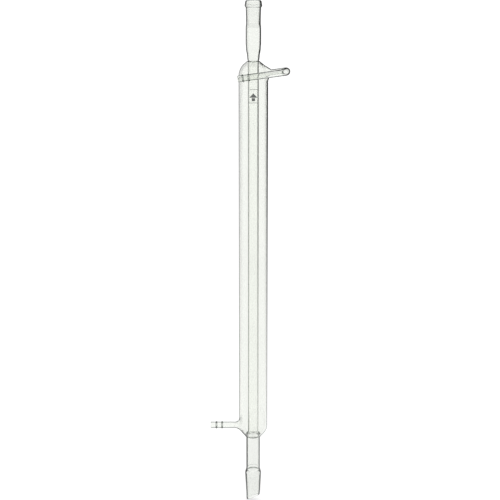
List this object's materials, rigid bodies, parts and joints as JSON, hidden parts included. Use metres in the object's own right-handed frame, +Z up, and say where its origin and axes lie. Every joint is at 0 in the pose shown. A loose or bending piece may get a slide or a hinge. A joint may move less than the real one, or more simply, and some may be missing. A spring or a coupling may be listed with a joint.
{
  "type": "liebig condenser",
  "caption": "Glass Liebig condenser: a straight condensing tube in a water jacket, ground socket above, ground cone with drip tip below, and two ridged hose arms.",
  "frame": {"origin": "on the condenser's axis, in the gauge plane of the ground cone, where its large end seats", "axes": "+Z up the axis towards the ground socket; the water inlet points to -X; the outlet's return bend passes the jacket on its -Y side"},
  "size_m": [0.0895, 0.0423, 0.5821],
  "materials": {
    "clear_glass": "clear fire-polished borosilicate glass, faint green-grey tint",
    "ground_joint_glass": "clear borosilicate glass with a frosted ground zone"
  },
  "bodies": {
    "root": {"ground_socket": "ground_joint_glass", "condensing_tube": "clear_glass", "upper_ring_seal": "clear_glass", "lower_ring_seal": "clear_glass", "jacket_tube": "clear_glass", "upper_shoulder": "clear_glass", "lower_shoulder": "clear_glass", "inlet_hose_connection": "clear_glass", "outlet_bend": "clear_glass", "outlet_hose_connection": "clear_glass", "drip_stem": "clear_glass", "ground_cone": "ground_joint_glass"}
  },
  "joints": []
}
